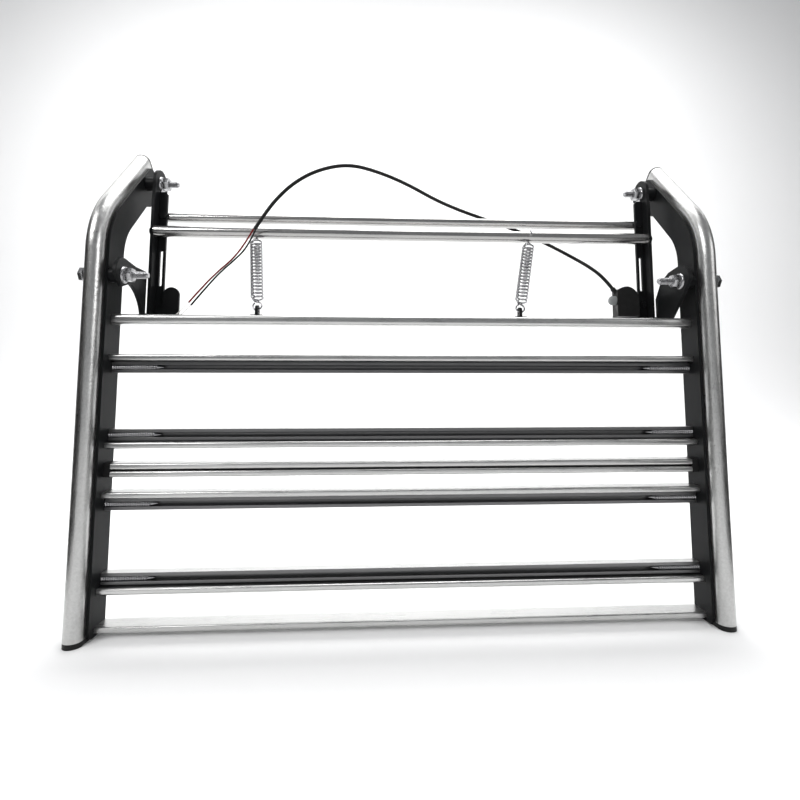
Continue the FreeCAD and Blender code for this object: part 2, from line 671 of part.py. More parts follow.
def build_arm(word, side):
    """Angle-section arm: a side leg with its pivot ear and a slotted back leg."""
    body = new_body("arm_body_" + word)
    leg = new_sketch(body, "YZ_Plane", "side_leg_" + word)
    y, z = PIVOT_Y, PIVOT_Z
    reach = f"({z} - 4)"
    half = f"sqrt(arm_ear^2 - 16)"
    corners = [("arm_front", "arm_foot"), ("arm_back", "arm_foot"), ("arm_back", "arm_leg_top"),
               (f"{y} + {half}", reach), (y, f"{z} + arm_ear"), (f"{y} - {half}", reach),
               ("arm_front", f"arm_leg_top - 12")]
    loop(leg, corners, {3: ("arm_ear", 1), 4: ("arm_ear", 1)})
    circle(leg, y, z, "bolt_r + pivot_fit")
    circle(leg, "lower_bar_y", "lower_bar_z", "bar_bolt_r + bolt_fit")
    pad(body, leg, "arm_thick", flip=side < 0)
    back = new_sketch(body, "XZ_Plane", "back_leg_" + word, f"-arm_back")
    edge = f"({-side} * arm_wide)"
    loop(back, [("0", "arm_foot"), (edge, "arm_foot"), (edge, "arm_leg_top - arm_corner"),
                (f"{edge} + {side} * arm_corner", "arm_leg_top"), ("0", "arm_leg_top")])
    middle = f"({-side} * (arm_wide - slot_in))"
    end = ("slot_half", 1)
    loop(back, [(f"{middle} - slot_half", "slot_low"), (middle, "slot_low - slot_half"),
                (f"{middle} + slot_half", "slot_low"), (f"{middle} + slot_half", "slot_high"),
                (middle, "slot_high + slot_half"), (f"{middle} - slot_half", "slot_high")],
         {0: end, 1: end, 3: end, 4: end})
    circle(back, middle, "upper_bar_z", "bar_bolt_r + bolt_fit")
    for height in FOOT_SCREWS[word]:
        circle(back, middle, height, "small_screw_r + bolt_fit")
    pad(body, back, "arm_thick")
    place(body, f"{side} * frame_half")
    keep(body, "arm_" + word)


def build_crossbars():
    """Two round crossbars between the arms, with threaded end plugs and their screws."""
    lower = tube("lower_bar_tube", "lower_bar_r", "lower_bar_r - tube_wall", "2 * frame_half")
    place(lower, "-frame_half", "lower_bar_y", "lower_bar_z", (0, 1, 0), 90)
    keep(lower, "crossbar_lower")
    upper_y = "(arm_back + upper_bar_r)"
    upper = tube("upper_bar_tube", "upper_bar_r", "upper_bar_r - tube_wall", "2 * frame_half")
    slots = []
    for word, side in SIDES.items():
        hole = cylinder("bar_bolt_r + bolt_fit", "upper_bar_r + 1")
        middle = f"frame_half + {side} * (frame_half - arm_wide + slot_in)"
        hole.Placement = FreeCAD.Placement(
            FreeCAD.Vector(), FreeCAD.Rotation(FreeCAD.Vector(1, 0, 0), 90))
        hole.setExpression("Placement.Base.z", bound(middle))
        slots.append(hole)
    drilled = cut("upper_bar_drilled", upper, fuse("upper_bar_holes", *slots))
    place(drilled, "-frame_half", upper_y, "upper_bar_z", (0, 1, 0), 90)
    keep(drilled, "crossbar_upper")
    plugs, screws = [], []
    for word, side in SIDES.items():
        plug = tube("bar_plug", "lower_bar_r - tube_wall - 0.05", "bar_bolt_r", "bar_nut_long")
        place(plug, f"{side} * frame_half", "lower_bar_y", "lower_bar_z",
              (0, 1, 0), -side * 90)
        plugs.append(plug)
        screw = fuse("bar_end_screw", cylinder("bar_bolt_r", "arm_thick + bar_nut_long"),
                     cylinder("bar_bolt_r + 1.2", "1.4", "-1.4"))
        place(screw, f"{side} * (frame_half + arm_thick)", "lower_bar_y",
              "lower_bar_z", (0, 1, 0), -side * 90)
        screws.append(screw)
        pin = fuse("bar_face_screw", cylinder("bar_bolt_r", "arm_thick + upper_bar_r - 0.3"),
                   cylinder("bar_bolt_r + 1.2", "1.4", "-1.4"))
        place(pin, f"{side} * (frame_half - arm_wide + slot_in)", LEG_FRONT,
              "upper_bar_z", (1, 0, 0), -90)
        screws.append(pin)
    keep(group("bar_plug_set", plugs), "crossbar_plugs")
    keep(group("bar_screw_set", screws), "crossbar_screws")


def build_lug(word, x):
    """Spring lug: an upright eye on a foot that sits on the spring bar."""
    body = new_body("lug_body_" + word)
    shape = new_sketch(body, "YZ_Plane", "lug_outline_" + word)
    top = "(spring_bar_z + spring_bar_tall / 2)"
    corners = [("lug_y - lug_r", top), ("lug_y + lug_r", top), ("lug_y + lug_r", "lug_z"),
               ("lug_y", "lug_z + lug_r"), ("lug_y - lug_r", "lug_z")]
    loop(shape, corners, {2: ("lug_r", 1), 3: ("lug_r", 1)})
    circle(shape, "lug_y", "lug_z", "eye_r")
    pad(body, shape, "lug_thick")
    foot = new_sketch(body, "XY_Plane", "lug_foot_" + word, top)
    loop(foot, [("lug_thick / 2 - 5", "lug_y - lug_r"), ("lug_thick / 2 + 5", "lug_y - lug_r"),
                ("lug_thick / 2 + 5", "lug_y - 0.5"), ("lug_thick / 2 - 5", "lug_y - 0.5")])
    pad(body, foot, "1.2")
    place(body, f"{x} - lug_thick / 2")
    keep(body, "spring_lug_" + word)


def torus(major, minor, z, axis, angle):
    ring = doc.addObject("Part::Torus", "hook")
    ring.setExpression("Radius1", bound(major))
    ring.setExpression("Radius2", bound(minor))
    ring.Placement = FreeCAD.Placement(
        FreeCAD.Vector(), FreeCAD.Rotation(FreeCAD.Vector(*axis), angle))
    ring.setExpression("Placement.Base.z", bound(z))
    return ring


def build_spring(word, low_x, top_x):
    """Extension spring as a coil sleeve with tapered ends and two hooks."""
    low = FreeCAD.Vector(number(low_x), number(f"lug_y - {MIDDLE}"), number("lug_z"))
    top = FreeCAD.Vector(number(top_x), number(f"lower_bar_y - {MIDDLE}"), number("lower_bar_z"))
    axis = top - low
    span = axis.Length
    wire = "(spring_wire / 2)"
    hook = f"(lower_bar_r + hook_gap + {wire})"
    start = "(2 * spring_eye + spring_wire)"
    finish = f"({span} - {hook} - spring_wire)"
    body = f"({finish} - {start} - 2 * spring_taper)"
    neck = "(spring_wire * 0.7)"
    outer = fuse(f"spring_shell_{word}", cylinder("spring_r", body, f"{start} + spring_taper"),
                 cone(neck, "spring_r", "spring_taper", start),
                 cone("spring_r", neck, "spring_taper", f"{finish} - spring_taper"),
                 cylinder(neck, f"{start} - 2 * spring_eye + 0.3", "2 * spring_eye - 0.3"),
                 cylinder(neck, "spring_wire + 0.3", finish))
    bore = cylinder("spring_r - spring_wire", body, f"{start} + spring_taper")
    spring = fuse(f"spring_solid_{word}", cut(f"spring_sleeve_{word}", outer, bore),
                  torus(hook, wire, span, (0, 1, 0), 90),
                  torus("spring_eye", wire, "spring_eye", (1, 0, 0), 90))
    turn = FreeCAD.Rotation(FreeCAD.Vector(0, 0, 1), axis)
    spring.Placement = FreeCAD.Placement(low, turn)
    keep(spring, "spring_" + word)


# The lead's route, as chosen points: across, behind the front line, up.
SHEATH_ROUTE = [
    (187.9, 54.3, 277.0), (180.1, 54.95, 287.4), (170.0, 61.0, 298.5), (158.0, 72.0, 310.5),
    (140.5, 79.0, 323.0), (112.0, 80.0, 336.5), (80.0, 79.0, 347.0), (52.0, 74.0, 354.5),
    (27.0, 66.0, 361.5), (1.0, 58.0, 372.5), (-25.0, 51.0, 380.5), (-52.0, 45.0, 385.0),
    (-78.0, 41.0, 378.0), (-99.0, 39.5, 365.5), (-115.0, 38.5, 349.0), (-126.0, 38.0, 332.5),
    (-132.5, 38.0, 321.5)]
CORE_ROUTES = {
    "red": [(-133.1, 37.2, 321.6), (-140.3, 36.9, 308.0), (-150.5, 39.0, 295.5),
            (-161.5, 38.6, 285.5), (-172.5, 36.4, 272.5), (-184.0, 34.8, 257.5)],
    "black": [(-131.9, 38.8, 321.3), (-138.3, 39.6, 306.5), (-148.5, 36.6, 294.0),
              (-160.0, 35.8, 283.0), (-172.0, 38.9, 270.5), (-183.0, 37.2, 255.5)]}
STRAND_ROUTES = {
    "red": [(-184.0, 34.8, 257.5), (-188.4, 34.2, 251.7), (-193.4, 34.4, 247.4)],
    "black": [(-183.0, 37.2, 255.5), (-187.4, 36.6, 250.0), (-192.6, 36.9, 245.8)]}


TAB_FRONT = f"({LEG_FRONT} - tab_thick)"
RIGHT_FACE = "frame_half"
LEFT_FACE = "(-frame_half)"


def build_tab():
    """Left foot tab: a flat plate with a rounded top on the arm's foot."""
    body = new_body("tab_body")
    shape = new_sketch(body, "XZ_Plane", "tab_outline", f"-{LEG_FRONT}")
    left = f"({LEFT_FACE} + 1)"
    right = f"({LEFT_FACE} + tab_reach)"
    inner = f"({right} - tab_wide)"
    round_top = "(tab_wide / 2)"
    corners = [(left, "arm_foot + 2"), (right, "arm_foot + 2"), (right, f"tab_top - {round_top}"),
               (f"{right} - {round_top}", "tab_top"), (inner, f"tab_top - {round_top}"),
               (inner, "arm_foot + 14"), (left, "arm_foot + 12")]
    loop(shape, corners, {2: (round_top, 1), 3: (round_top, 1)})
    middle = f"({LEFT_FACE} + arm_wide - slot_in)"
    circle(shape, middle, "arm_foot + screw_low", "small_screw_r + bolt_fit")
    pad(body, shape, "tab_thick")
    place(body)
    keep(body, "foot_tab")


def build_switch():
    """Push switch on the right arm's foot: bracket, housing, gland, button and screws."""
    bracket = new_body("switch_bracket_body")
    shape = new_sketch(bracket, "XZ_Plane", "bracket_outline", f"-{LEG_FRONT}")
    loop(shape, [("switch_left + 1", "switch_low"), (f"{RIGHT_FACE} - 0.5", "arm_foot + 1"),
                 (f"{RIGHT_FACE} - 0.5", "arm_foot + 25"), ("switch_left + switch_wide", "tab_top"),
                 ("switch_left + 3", "tab_top - 3")])
    middle = f"({RIGHT_FACE} - arm_wide + slot_in)"
    for height in FOOT_SCREWS["right"]:
        circle(shape, middle, height, "small_screw_r + bolt_fit")
    pad(bracket, shape, "tab_thick")
    place(bracket)
    keep(bracket, "switch_bracket")
    housing = new_body("switch_housing_body")
    shape = new_sketch(housing, "XZ_Plane", "housing_outline", f"-{TAB_FRONT}")
    right = "(switch_left + switch_wide)"
    high = "(switch_low + switch_tall)"
    corners = [("switch_left", "switch_low"), (right, "switch_low"), (right, f"{high} - 10"),
               ("switch_left + switch_wide / 2", high), ("switch_left", f"{high} - 4")]
    loop(shape, corners, {2: ("12", 1), 3: ("14", 1)})
    pad(housing, shape, "switch_deep")
    bore = new_sketch(housing, "YZ_Plane", "button_bore", "switch_left")
    circle(bore, f"{TAB_FRONT} - switch_deep / 2", "button_z", "button_r + button_fit")
    pocket(housing, bore, "button_in + button_travel + 0.5", flip=True)
    place(housing)
    keep(housing, "switch_housing")
    first, second = (FreeCAD.Vector(*point) for point in SHEATH_ROUTE[:2])
    leads_out = (second - first).normalize()
    gland = cylinder("gland_r", "gland_long")
    gland.Placement.Rotation = FreeCAD.Rotation(FreeCAD.Vector(0, 0, 1), leads_out)
    place(gland, *(f"{at} - gland_long * ({step:.6f})" for at, step in
                   zip(SHEATH_ROUTE[0], leads_out)))
    keep(gland, "cable_gland")
    stem = cylinder("button_r", "button_in + button_out - 2")
    crown = cone("button_r", "button_r - 1.6", "2", "button_in + button_out - 2")
    button = fuse("button_solid", stem, crown)
    place(button, "switch_left + button_in", f"{TAB_FRONT} - switch_deep / 2", "button_z",
          (0, 1, 0), -90)
    keep(button, "switch_button")
    screws = []
    for height in FOOT_SCREWS["right"]:
        screw = fuse("bracket_screw", cylinder("small_screw_r", "tab_thick + arm_thick + 1"),
                     cylinder("small_screw_r + 1.1", "1.2", "-1.2"))
        place(screw, middle, TAB_FRONT, height, (1, 0, 0), -90)
        screws.append(screw)
    screw = fuse("tab_screw", cylinder("small_screw_r", "tab_thick + arm_thick + 1"),
                 cylinder("small_screw_r + 1.1", "1.2", "-1.2"))
    place(screw, f"{LEFT_FACE} + arm_wide - slot_in", TAB_FRONT, "arm_foot + screw_low", (1, 0, 0), -90)
    screws.append(screw)
    keep(group("small_screw_set", screws), "small_screws")


def round_wire(label, route, radius):
    """Round wire along straight runs joined by tangent arcs."""
    middle = number(MIDDLE)
    points = [FreeCAD.Vector(x, y - middle, z) for x, y, z in route]
    edges, here, radii = [], points[0], []
    for before, corner, after in zip(points, points[1:], points[2:]):
        back, ahead = (before - corner), (after - corner)
        shorter = min(back.Length, ahead.Length)
        turn = math.pi - back.getAngle(ahead)
        trim = 0.45 * shorter
        arc_radius = trim / math.tan(turn / 2)
        radii.append(arc_radius)
        into = corner + back.normalize() * trim
        out = corner + ahead.normalize() * trim
        mid_way = (into + out) * 0.5 - corner
        sagitta = arc_radius / math.cos(turn / 2) - arc_radius
        middle_point = corner + mid_way.normalize() * sagitta
        edges.append(Part.LineSegment(here, into).toShape())
        edges.append(Part.Arc(into, middle_point, out).toShape())
        here = out
    edges.append(Part.LineSegment(here, points[-1]).toShape())
    path = Part.Wire(edges)
    start = points[1] - points[0]
    rim = Part.Wire([Part.makeCircle(radius, points[0], start)])
    solid = path.makePipeShell([rim], True, False)
    expected = math.pi * radius ** 2 * path.Length
    print(f"{label}: length {path.Length:.1f}, tightest radius {min(radii):.1f}, "
          f"volume ratio {solid.Volume / expected:.3f}")
    node = doc.addObject("Part::Feature", label + "_solid")
    node.Shape = solid
    return keep(node, label)


for side_word, side_sign in SIDES.items():
    build_rail(side_word, side_sign)
    build_caps(side_word, side_sign)
    build_side_plate(side_word, side_sign)
build_slat("slat_upper", "slat_a", True)
build_slat("slat_above_centre", "slat_b", False)
build_centre_slat()
build_slat("slat_below_centre", "slat_d", True)
build_slat("slat_lower", "slat_e", False)
build_plain_bar("spring_bar", "spring_bar_z", "spring_bar_tall", "spring_bar_deep", "3")
build_plain_bar("bottom_bar", "base_bar_z", "base_bar_tall", "base_bar_deep", "1.2")
for side_word, side_sign in SIDES.items():
    build_screws(side_word, side_sign)
    build_bolt("lower_bolt_" + side_word, side_sign, LOWER_BOLT, f"({STOP_IN} - nut_tall)")
    build_ring("lower_washer_" + side_word, side_sign, LOWER_BOLT, "rail_out + washer_thick",
               "washer_thick", "washer_r")
    build_ring("lower_spacer_" + side_word, side_sign, LOWER_BOLT, PLATE_IN, "lower_spacer",
               "spacer_r")
    build_nut("lower_nut_" + side_word, side_sign, LOWER_BOLT, STOP_IN)
    build_stop_plate(side_word, side_sign)
    pivot_nut = "(frame_half - pivot_play)"
    build_bolt("pivot_bolt_" + side_word, side_sign, UPPER_BOLT, f"({pivot_nut} - nut_tall)")
    build_ring("pivot_washer_" + side_word, side_sign, UPPER_BOLT, "rail_out + washer_thick",
               "washer_thick", "washer_r")
    arm_face = "(frame_half + arm_thick)"
    build_ring("pivot_spacer_" + side_word, side_sign, UPPER_BOLT, PLATE_IN,
               f"({PLATE_IN} - {arm_face} - pivot_play)", "spacer_r")
    build_nut("pivot_nut_" + side_word, side_sign, UPPER_BOLT, pivot_nut)
    build_arm(side_word, side_sign)
build_crossbars()
build_lug("left", "spring_low_left")
build_lug("right", "spring_low_right")
build_spring("left", "spring_low_left", "spring_top_left")
build_spring("right", "spring_low_right", "spring_top_right")
build_tab()
build_switch()
round_wire("lead_sheath", SHEATH_ROUTE, number("lead_r"))
for colour in CORE_ROUTES:
    round_wire(f"lead_core_{colour}", CORE_ROUTES[colour], number("core_r"))
    round_wire(f"lead_strands_{colour}", STRAND_ROUTES[colour], number("tinned_r"))

doc.recompute()
faults = [obj.Label for obj in doc.Objects if {"Invalid", "Error"} & set(obj.State)]
faults += [obj.Label for obj in nodes if obj.Shape.isNull() or not obj.Shape.isValid()]
if faults:
    raise RuntimeError("failed: " + ", ".join(faults))
os.makedirs("parts", exist_ok=True)
for obj in nodes:
    obj.Shape.exportStep(os.path.join("parts", obj.Label + ".step"))
print(f"{len(nodes)} sub-parts written")
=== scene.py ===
import json
import logging
import math
from collections.abc import Callable, Sequence
from dataclasses import dataclass, field
from enum import Enum
from typing import Any

import bmesh
import bpy
from mathutils import Matrix, Vector


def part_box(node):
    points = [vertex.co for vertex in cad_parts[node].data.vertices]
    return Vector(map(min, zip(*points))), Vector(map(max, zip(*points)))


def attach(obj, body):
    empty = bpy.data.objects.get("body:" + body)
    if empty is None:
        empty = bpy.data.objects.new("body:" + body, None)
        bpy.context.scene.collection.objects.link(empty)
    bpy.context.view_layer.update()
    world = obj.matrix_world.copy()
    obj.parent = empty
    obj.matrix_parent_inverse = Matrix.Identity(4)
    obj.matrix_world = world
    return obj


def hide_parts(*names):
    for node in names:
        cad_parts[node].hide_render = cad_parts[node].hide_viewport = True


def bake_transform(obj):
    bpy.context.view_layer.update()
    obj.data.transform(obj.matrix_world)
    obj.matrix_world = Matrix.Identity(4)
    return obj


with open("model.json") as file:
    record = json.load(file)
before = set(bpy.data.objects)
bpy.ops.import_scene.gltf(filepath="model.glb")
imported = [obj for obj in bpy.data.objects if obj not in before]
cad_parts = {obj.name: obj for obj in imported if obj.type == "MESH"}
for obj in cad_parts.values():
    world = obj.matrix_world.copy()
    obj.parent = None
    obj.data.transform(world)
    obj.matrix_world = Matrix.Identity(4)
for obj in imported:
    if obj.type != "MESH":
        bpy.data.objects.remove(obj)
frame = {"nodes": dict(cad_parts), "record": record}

LOG = logging.getLogger("guard_rack")
MM = 0.001
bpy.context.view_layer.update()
SIDES = {"left": -1, "right": 1}
# Name of the face attribute that marks where painted recess shade goes.
PAINTED_SHADE_MARK = "painted_recess_shade"


@dataclass(frozen=True)
class StudioCamera:
    """The camera in front of the rack, a little left of its middle and tilted slightly up."""

    place: tuple[float, float, float] = (-0.025, -0.4312, 0.1887)
    pitch_deg: float = 5.16
    yaw_deg: float = -3.11
    lens_mm: float = 22.5
    shift: tuple[float, float] = (-0.0080, -0.0750)

    def build(self) -> None:
        """Makes the camera and gives it to the scene."""
        data = bpy.data.cameras.new("studio_camera")
        data.lens = self.lens_mm
        data.shift_x, data.shift_y = self.shift
        data.clip_start = 0.01
        camera = bpy.data.objects.new("studio_camera", data)
        camera.location = self.place
        camera.rotation_euler = (math.radians(90 + self.pitch_deg), 0, math.radians(self.yaw_deg))
        bpy.context.collection.objects.link(camera)
        bpy.context.scene.camera = camera


# The lead's routes are chosen points in metres, with depth measured from the rails' front line.
FRONT_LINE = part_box("rail_left")[0][1]
SHEATH_ROUTE = [
    (0.1879, 0.0543, 0.2770), (0.1801, 0.05495, 0.2874), (0.1700, 0.0610, 0.2985),
    (0.1580, 0.0720, 0.3105), (0.1405, 0.0790, 0.3230), (0.1120, 0.0800, 0.3365),
    (0.0800, 0.0790, 0.3470), (0.0520, 0.0740, 0.3545), (0.0270, 0.0660, 0.3615),
    (0.0010, 0.0580, 0.3725), (-0.0250, 0.0510, 0.3805), (-0.0520, 0.0450, 0.3850),
    (-0.0780, 0.0410, 0.3780), (-0.0990, 0.0395, 0.3655), (-0.1150, 0.0385, 0.3490),
    (-0.1260, 0.0380, 0.3325), (-0.1325, 0.0380, 0.3215)]
CORE_ROUTES = {
    "red": [(-0.1331, 0.0372, 0.3216), (-0.1403, 0.0369, 0.3080), (-0.1505, 0.0390, 0.2955),
            (-0.1615, 0.0386, 0.2855), (-0.1725, 0.0364, 0.2725), (-0.1840, 0.0348, 0.2575)],
    "black": [(-0.1319, 0.0388, 0.3213), (-0.1383, 0.0396, 0.3065), (-0.1485, 0.0366, 0.2940),
              (-0.1600, 0.0358, 0.2830), (-0.1720, 0.0389, 0.2705), (-0.1830, 0.0372, 0.2555)]}
STRAND_ROUTES = {
    "red": [(-0.1840, 0.0348, 0.2575), (-0.1884, 0.0342, 0.2517), (-0.1934, 0.0344, 0.2474)],
    "black": [(-0.1830, 0.0372, 0.2555), (-0.1874, 0.0366, 0.2500), (-0.1926, 0.0369, 0.2458)]}


class Field:
    """A shader socket that takes part in Python sums."""

    def __init__(self, tree: bpy.types.NodeTree, socket: bpy.types.NodeSocket) -> None:
        """Wraps one output socket of a node tree."""
        self.tree = tree
        self.socket = socket

    def _maths(self, operation: str, first: Any, second: Any) -> "Field":
        """Adds a Math node and returns its output."""
        node = add_node(self.tree, "Math", {"operation": operation}, {0: first, 1: second})
        return Field(self.tree, node.outputs[0])

    def __add__(self, other: Any) -> "Field":
        """Sum of this and a number or field."""
        return self._maths("ADD", self, other)

    def __mul__(self, other: Any) -> "Field":
        """Product of this and a number or field."""
        return self._maths("MULTIPLY", self, other)

    def __sub__(self, other: Any) -> "Field":
        """This less a number or field."""
        return self._maths("SUBTRACT", self, other)

    def __pow__(self, other: Any) -> "Field":
        """This to a power."""
        return self._maths("POWER", self, other)


def add_node(
    tree: bpy.types.NodeTree, kind: str, settings: dict[str, Any], values: dict[Any, Any]
) -> bpy.types.Node:
    """Adds a shader node.

    Args:
        tree: The material's or world's node tree.
        kind: The node's type without its ShaderNode prefix.
        settings: Attributes of the node, set first.
        values: Input name or number to a value, Field or socket.

    Returns:
        The new node.
    """
    node = tree.nodes.new("ShaderNode" + kind)
    for name, value in settings.items():
        setattr(node, name, value)
    for key, value in values.items():
        if isinstance(value, Field):
            tree.links.new(value.socket, node.inputs[key])
        elif isinstance(value, bpy.types.NodeSocket):
            tree.links.new(value, node.inputs[key])
        else:
            node.inputs[key].default_value = value
    return node


def noise(
    tree: bpy.types.NodeTree, scale: float, stretch: Sequence[float] = (1, 1, 1), detail: float = 3
) -> Field:
    """Noise over the object's own coordinates.

    Args:
        tree: The material's node tree.
        scale: Patches per metre.
        stretch: Factors along X, Y and Z, small along the grain.
        detail: Octaves of noise.

    Returns:
        The noise, about 0 to 1.
    """
    coords = add_node(tree, "TexCoord", {}, {}).outputs["Object"]
    mapped = add_node(tree, "Mapping", {}, {"Vector": coords, "Scale": stretch}).outputs[0]
    texture = add_node(
        tree, "TexNoise", {}, {"Vector": mapped, "Scale": scale, "Detail": detail, "Roughness": 0.6})
    return Field(tree, texture.outputs["Fac"])


def blend_colours(
    tree: bpy.types.NodeTree, factor: Field, first: Sequence[float], second: Sequence[float]
) -> bpy.types.NodeSocket:
    """Colour between two, by a field."""
    node = add_node(
        tree, "Mix", {"data_type": "RGBA"}, {0: factor, 6: (*first, 1), 7: (*second, 1)})
    return node.outputs[2]


class Grain(Enum):
    """Which way a metal was drawn or brushed, as stretch factors of its noise."""

    ACROSS = (0.012, 1.0, 1.0)
    NONE = (1.0, 1.0, 1.0)


def surface(name: str) -> tuple[bpy.types.Material, bpy.types.NodeTree, bpy.types.Node]:
    """A new material with its tree and Principled shader."""
    material = bpy.data.materials.new(name)
    material.use_nodes = True
    tree = material.node_tree
    return material, tree, tree.nodes["Principled BSDF"]


def link(tree: bpy.types.NodeTree, value: Any, shader: bpy.types.Node, name: str) -> None:
    """Links a field or socket to a shader's input."""
    tree.links.new(value.socket if isinstance(value, Field) else value, shader.inputs[name])


def bump(tree: bpy.types.NodeTree, shader: bpy.types.Node, height: Field, depth: float) -> None:
    """Raises the surface by a height field of the given depth in metres."""
    node = add_node(tree, "Bump", {}, {"Strength": 1.0, "Distance": depth, "Height": height})
    tree.links.new(node.outputs["Normal"], shader.inputs["Normal"])


@dataclass(frozen=True)
class Metal:
    """Bare or plated metal with a fine grain and faint patches, and painted shade on marked recess
    faces.
    """

    name: str
    light: tuple[float, float, float]
    dark: tuple[float, float, float]
    roughness: float
    grain: Grain = Grain.NONE
    grain_scale: float = 1800
    grain_depth: float = 0.00002
    spread: float = 0.12
    patch_scale: float = 26
    fine_share: float = 0.65
    patch_share: float = 0.35
    patch_spread: float = 0.8
    # Painted shade: the flat dark colour that marked recess faces take, standing in for the shade
    # cast into the slats' channels.
    painted_recess_shade: tuple[float, float, float] = (0.19, 0.19, 0.192)
    recess_rougher: float = 0.12

    def build(self) -> bpy.types.Material:
        """Makes the material."""
        material, tree, shader = surface(self.name)
        shader.inputs["Metallic"].default_value = 1.0
        fine = noise(tree, self.grain_scale, self.grain.value, 4)
        patches = noise(tree, self.patch_scale, detail=2)
        shade = fine * self.fine_share + patches * self.patch_share
        # Painted shade: faces that carry the mark take the recess colour instead of the metal's
        # grain colour.
        painted_shade_marks = add_node(tree, "Attribute", {"attribute_name": PAINTED_SHADE_MARK}, {})
        in_painted_shade = Field(tree, painted_shade_marks.outputs["Fac"])
        open_face = blend_colours(tree, shade, self.dark, self.light)
        colour = add_node(
            tree, "Mix", {"data_type": "RGBA"}, {0: in_painted_shade, 6: open_face, 7: (*self.painted_recess_shade, 1)})
        link(tree, colour.outputs[2], shader, "Base Color")
        wear = (patches - 0.5) * (self.spread * self.patch_spread)
        rough = (fine - 0.5) * self.spread + wear + self.roughness
        link(tree, rough + in_painted_shade * self.recess_rougher, shader, "Roughness")
        bump(tree, shader, fine, self.grain_depth)
        return material


@dataclass(frozen=True)
class PowderCoat:
    """Black powder coat with orange peel and a little dust."""

    name: str = "black_powder_coat"
    colour: tuple[float, float, float] = (0.008, 0.0085, 0.009)
    dust: tuple[float, float, float] = (0.016, 0.016, 0.0165)
    roughness: float = 0.38
    gloss: float = 0.08
    peel_scale: float = 900
    peel_depth: float = 0.00006
    dust_scale: float = 38

    def build(self) -> bpy.types.Material:
        """Makes the material."""
        material, tree, shader = surface(self.name)
        shader.inputs["Specular IOR Level"].default_value = self.gloss
        peel = noise(tree, self.peel_scale, detail=2)
        dusty = noise(tree, self.dust_scale, detail=5) ** 3
        link(tree, blend_colours(tree, dusty, self.colour, self.dust), shader, "Base Color")
        link(tree, dusty * 0.35 + peel * 0.08 + (self.roughness - 0.08), shader, "Roughness")
        bump(tree, shader, peel, self.peel_depth)
        return material


@dataclass(frozen=True)
class Moulded:
    """Moulded plastic or rubber with a fine grain."""

    name: str
    colour: tuple[float, float, float]
    roughness: float = 0.5
    grain_scale: float = 2600
    grain_depth: float = 0.00003
    gloss: float = 0.14
    scuff_scale: float = 70

    def build(self) -> bpy.types.Material:
        """Makes the material."""
        material, tree, shader = surface(self.name)
        shader.inputs["Specular IOR Level"].default_value = self.gloss
        grain = noise(tree, self.grain_scale, detail=2)
        scuffs = noise(tree, self.scuff_scale, detail=6) ** 4
        pale = tuple(min(1.0, part * 1.8 + 0.02) for part in self.colour)
        link(tree, blend_colours(tree, scuffs, self.colour, pale), shader, "Base Color")
        link(tree, grain * 0.12 + scuffs * 0.3 + (self.roughness - 0.08), shader, "Roughness")
        bump(tree, shader, grain, self.grain_depth)
        return material


@dataclass(frozen=True)
class StudioPaper:
    """Pale seamless paper."""

    name: str = "studio_paper"
    colour: tuple[float, float, float] = (0.86, 0.86, 0.86)
    roughness: float = 0.9

    def build(self) -> bpy.types.Material:
        """Makes the material."""
        material, _, shader = surface(self.name)
        shader.inputs["Base Color"].default_value = (*self.colour, 1)
        shader.inputs["Roughness"].default_value = self.roughness
        return material


@dataclass
class Finishes:
    """Every finish of the rack, by the record's slot."""

    made: dict[str, bpy.types.Material] = field(default_factory=dict)

    def build(self) -> None:
        """Makes each slot's material."""
        recipes = {
            "rail_metal": Metal("blasted_aluminium", (0.72, 0.72, 0.71), (0.34, 0.34, 0.335), 0.33,
                                Grain.NONE, 520, 0.00022, 0.2),
            "slat_metal": Metal("drawn_aluminium", (0.70, 0.70, 0.69), (0.46, 0.46, 0.455), 0.28,
                                Grain.ACROSS, 2600, 0.00002, 0.14),
            "bar_metal": Metal("drawn_steel", (0.62, 0.61, 0.60), (0.34, 0.34, 0.335), 0.2,
                               Grain.ACROSS, 2400, 0.00002, 0.12),
            "zinc": Metal("bright_zinc", (0.52, 0.52, 0.53), (0.20, 0.20, 0.205), 0.24,
                          Grain.NONE, 1200, 0.00002, 0.16),
            "black_paint": PowderCoat(),
            "cap_plastic": Moulded("black_plastic", (0.012, 0.012, 0.012), 0.4),
            "button_grey": Moulded("grey_plastic", (0.20, 0.21, 0.21), 0.38),
            "lead_black": Moulded("black_insulation", (0.010, 0.010, 0.010), 0.34, 1800, 0.00002),
            "lead_red": Moulded("red_insulation", (0.14, 0.008, 0.007), 0.36, 1800, 0.00002),
            "strand_metal": Metal("tinned_copper", (0.82, 0.80, 0.77), (0.52, 0.5, 0.47), 0.28)}
        self.made = {slot: recipe.build() for slot, recipe in recipes.items()}

    def dress_nodes(self) -> None:
        """Gives every CAD node its slot's material."""
        for part in frame["record"]["subparts"]:
            paint(frame["nodes"][part["node"]], self.made[part["material_slot"]])


def paint(piece: bpy.types.Object, material: bpy.types.Material) -> None:
    """Makes a material the piece's only one."""
    piece.data.materials.clear()
    piece.data.materials.append(material)


def slot_of(node: str) -> str:
    """The record's material slot of a CAD node."""
    return next(p["material_slot"] for p in frame["record"]["subparts"] if p["node"] == node)


def body_of(node: str) -> str:
    """The body that a CAD node is in."""
    bodies = frame["record"]["behaviour"]["bodies"]
    return next(name for name, held in bodies.items() if node in held)


def centre(node: str) -> Vector:
    """The middle of a CAD node's box."""
    low, high = (Vector(corner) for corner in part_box(node))
    return (low + high) / 2


